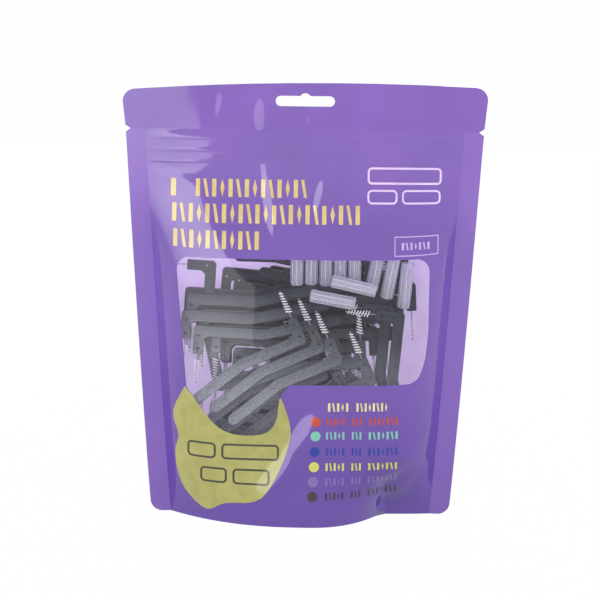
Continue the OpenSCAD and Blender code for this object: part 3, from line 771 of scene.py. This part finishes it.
def handle_mesh(node):
    """Moulded handles: softened edges, and a sunk panel on both broad faces.

    The short edges round the pin holes stay sharp.
    """
    bm = merged(node)
    join_flat(bm, 0.02)
    rim = [e for e in bm.edges if e.calc_length() > 0.3 * MM and e.calc_face_angle(0) > 0.7]
    bmesh.ops.bevel(bm, geom=rim, affect="EDGES", offset=HANDLE_EDGE_R * MM, segments=2, profile=0.5,
                    material=-1, clamp_overlap=False)
    broad = [f for f in bm.faces if abs(f.normal.y) > 0.999 and f.calc_area() > 2 * MM * MM]
    bmesh.ops.inset_region(bm, faces=broad, thickness=PANEL_RIM * MM, depth=-PANEL_DEPTH * MM,
                           use_even_offset=True)
    return bm


def islands(bm):
    """For each separate solid, its middle and the middles of its two halves along its length."""
    seen = set()
    found = []
    for start in bm.verts:
        if start in seen:
            continue
        stack, group = [start], []
        seen.add(start)
        while stack:
            v = stack.pop()
            group.append(v.co.copy())
            for e in v.link_edges:
                other = e.other_vert(v)
                if other not in seen:
                    seen.add(other)
                    stack.append(other)
        middle = sum(group, Vector()) / len(group)
        far = max(group, key=lambda p: (p - middle).length)
        along = (far - middle).normalized()
        first = [p for p in group if (p - middle).dot(along) > 0]
        second = [p for p in group if (p - middle).dot(along) <= 0]
        found.append((middle, sum(first, Vector()) / len(first), sum(second, Vector()) / len(second)))
    return found


def wire_frames(wire_node, bristle_node):
    """For each wire, the turn and place that take +Z from its foot to its tip, and +X to the back."""
    bm = merged(wire_node)
    wires = islands(bm)
    bm.free()
    bm = merged(bristle_node)
    heads = [middle for middle, _, _ in islands(bm)]
    bm.free()
    frames = []
    for _, a, b in wires:
        near = min(heads, key=lambda p: min((p - a).length, (p - b).length))
        foot, tip = (a, b) if (near - b).length < (near - a).length else (b, a)
        along = (tip - foot).normalized()
        side = (Vector((0, 1, 0)) - along * along.y).normalized()
        turn = Matrix((side, along.cross(side), along)).transposed().to_4x4()
        frames.append(Matrix.Translation(foot) @ turn)
    return frames


def twisted_wire(sides, steps_per_turn):
    """Two thin strands wound round each other, from the foot upwards."""
    bm = bmesh.new()
    strand = WIRE_D / 4 * MM
    turns = round(WIRE_L / TWIST_PITCH)
    for side in (-1, 1):
        ring = bmesh.ops.create_circle(bm, segments=sides, radius=strand, cap_ends=True)["verts"]
        bmesh.ops.translate(bm, verts=ring, vec=(side * strand, 0, 0))
        faces = list({f for v in ring for f in v.link_faces})
        bmesh.ops.reverse_faces(bm, faces=faces)
        rise = WIRE_L * MM / (turns * steps_per_turn)
        bmesh.ops.spin(bm, geom=faces, cent=(0, 0, 0), axis=(0, 0, 1), dvec=(0, 0, rise),
                       angle=turns * math.tau, steps=turns * steps_per_turn, use_duplicate=False)
    bmesh.ops.recalc_face_normals(bm, faces=bm.faces)
    return to_mesh("wire", bm)


def tufts(filaments, wide, narrow):
    """Slanted tufts of filaments, as the twisted wire spreads them, shorter towards the tip.

    They are fewer and thicker than the real ones so that they show.
    """
    bm = bmesh.new()
    slant = Matrix.Rotation(math.radians(TUFT_SLANT), 4, "X") @ Matrix.Diagonal((TUFT_FLATNESS, 1, 1, 1))
    radius = FILAMENT_D / 2 * MM
    for i in range(TUFTS):
        t = (i + 0.5) / TUFTS
        lift = Matrix.Translation((0, 0, (WIRE_SET + WIRE_BARE + BRISTLE_L * t) * MM))
        for k in range(filaments):
            made = bmesh.ops.create_cone(bm, segments=4, radius1=radius, radius2=radius,
                                         depth=mix(wide, narrow, t) * MM, cap_ends=True)["verts"]
            fan = Matrix.Rotation(math.pi * (k + i / 3) / filaments, 4, "Z")
            lying = Matrix.Rotation(math.pi / 2, 4, "Y")
            bmesh.ops.transform(bm, matrix=lift @ slant @ fan @ lying, verts=made)
    return to_mesh("tufts", bm)


def copies(mesh, frames):
    """One mesh set down at every frame."""
    bm = bmesh.new()
    for where in frames:
        before = len(bm.verts)
        bm.from_mesh(mesh)
        bm.verts.ensure_lookup_table()
        bmesh.ops.transform(bm, matrix=where, verts=bm.verts[before:])
    return bm


# The ten near brushes have fuller heads than those in the piles.
fine = (twisted_wire(6, 8), tufts(9, NEAR_BRISTLE_D, NEAR_BRISTLE_TIP_D))
plain = (twisted_wire(4, 6), tufts(6, BRISTLE_D, BRISTLE_TIP_D))
brush_names = sorted(n.removesuffix("_handle") for n in nodes
                     if n.startswith("brush_") and n.endswith("_handle"))
groups = [(n, n + "_handle", n + "_wire", n + "_bristles", fine) for n in brush_names]
groups += [(n, n + "_handles", n + "_wires", n + "_bristles", plain) for n in ("front_pile", "back_pile")]
for name, handle, wire, head, (wire_mesh, head_mesh) in groups:
    frames = wire_frames(wire, head)
    piece(name + "_grip", handle_mesh(handle), [GREY], stands_for=[handle], crease=25)
    piece(name + "_twist", copies(wire_mesh, frames), [STEEL], stands_for=[wire], crease=60)
    piece(name + "_filaments", copies(head_mesh, frames), [NYLON], stands_for=[head],
          crease=60)


# ---- Floor, lights and camera ----

def sees_backdrop(tree):
    """1 for the rays that show the white backdrop: the camera's, and those off gloss or through glass."""
    rays = add(tree, "LightPath").outputs
    direct = add(tree, "Math", {0: rays["Is Camera Ray"], 1: rays["Is Glossy Ray"]}, operation="MAXIMUM")
    through = add(tree, "Math", {0: direct.outputs[0], 1: rays["Is Transmission Ray"]}, operation="MAXIMUM")
    return through.outputs[0]


bm = bmesh.new()
bmesh.ops.create_grid(bm, x_segments=2, y_segments=2, size=6)
mesh = to_mesh("floor", bm)
floor = bpy.data.objects.new("floor", mesh)
scene.collection.objects.link(floor)
paper, tree = new_material("white_paper_floor")
matt = add(tree, "BsdfDiffuse", {"Color": linear("#B4B4B4")})
bright = add(tree, "Emission", {"Color": (1, 1, 1, 1), "Strength": 1.01})
share = add(tree, "Math", {0: sees_backdrop(tree), 1: 0.98}, operation="MULTIPLY")
both = add(tree, "MixShader", {0: share.outputs[0], 1: matt.outputs[0], 2: bright.outputs[0]})
add(tree, "OutputMaterial", {"Surface": both.outputs[0]})
mesh.materials.append(paper)

world = bpy.data.worlds.new("studio")
scene.world = world
world.use_nodes = True
tree = world.node_tree
tree.nodes.clear()
room = add(tree, "Background", {"Color": (1, 1, 1, 1), "Strength": 0.45})
sky = add(tree, "Background", {"Color": (1, 1, 1, 1), "Strength": 1.02})
both = add(tree, "MixShader", {0: sees_backdrop(tree), 1: room.outputs[0], 2: sky.outputs[0]})
add(tree, "OutputWorld", {"Surface": both.outputs[0]})


def soft_box(name, place, target, width, height, power, turn=0.0, gloss=False, diffuse=True, spread=180):
    """A rectangular lamp. The eye doesn't see it; gloss shows it only where it is asked to."""
    light = bpy.data.lights.new(name, "AREA")
    light.shape = "RECTANGLE"
    light.size, light.size_y = width * MM, height * MM
    light.energy = power
    light.spread = math.radians(spread)
    lamp = bpy.data.objects.new(name, light)
    scene.collection.objects.link(lamp)
    lamp.location = Vector(place) * MM
    lamp.rotation_mode = "QUATERNION"
    facing = (Vector(target) - Vector(place)).to_track_quat("-Z", "Y")
    lamp.rotation_quaternion = facing @ Matrix.Rotation(math.radians(turn), 3, "Z").to_quaternion()
    lamp.visible_camera = lamp.visible_transmission = False
    lamp.visible_diffuse, lamp.visible_glossy = diffuse, gloss
    return lamp


soft_box("key_soft_box", (-150, -1380, 300), (0, 0, 90), 900, 700, 9)
soft_box("fill_soft_box", (1000, -900, 600), (0, 0, 90), 700, 700, 2.5)
soft_box("left_soft_box", (-950, -250, 250), (0, 0, 90), 600, 600, 4.4)
soft_box("right_soft_box", (950, -250, 250), (0, 0, 90), 600, 600, 4.0)
soft_box("back_soft_box", (0, 1000, 250), (0, 0, 90), 1000, 800, 13.5)
soft_box("left_reflector", (-375, -103, 129), (-279, 138, -21), 650, 480, 2.4, turn=20, gloss=True,
         diffuse=False, spread=130)
soft_box("back_reflector", (375, 103, 129), (279, -138, -21), 650, 480, 2.0, turn=20, gloss=True,
         diffuse=False, spread=130)

# A long lens, looking down a little and rolled slightly, as the photograph's was.
DISTANCE, ELEVATION, ROLL, LENS = 1500.0, math.radians(11.6), math.radians(0.75), 203.08
aim = Vector((-1.2, 0, 97.0))
back = Vector((0, -math.cos(ELEVATION), math.sin(ELEVATION)))
camera = bpy.data.objects.new("camera", bpy.data.cameras.new("camera"))
scene.collection.objects.link(camera)
camera.data.lens = LENS
camera.data.sensor_width = 36.0
camera.location = (aim + back * DISTANCE) * MM
camera.rotation_mode = "QUATERNION"
camera.rotation_quaternion = (-back).to_track_quat("-Z", "Y") @ Matrix.Rotation(ROLL, 3, "Z").to_quaternion()
scene.camera = camera
scene.view_settings.view_transform = "Standard"
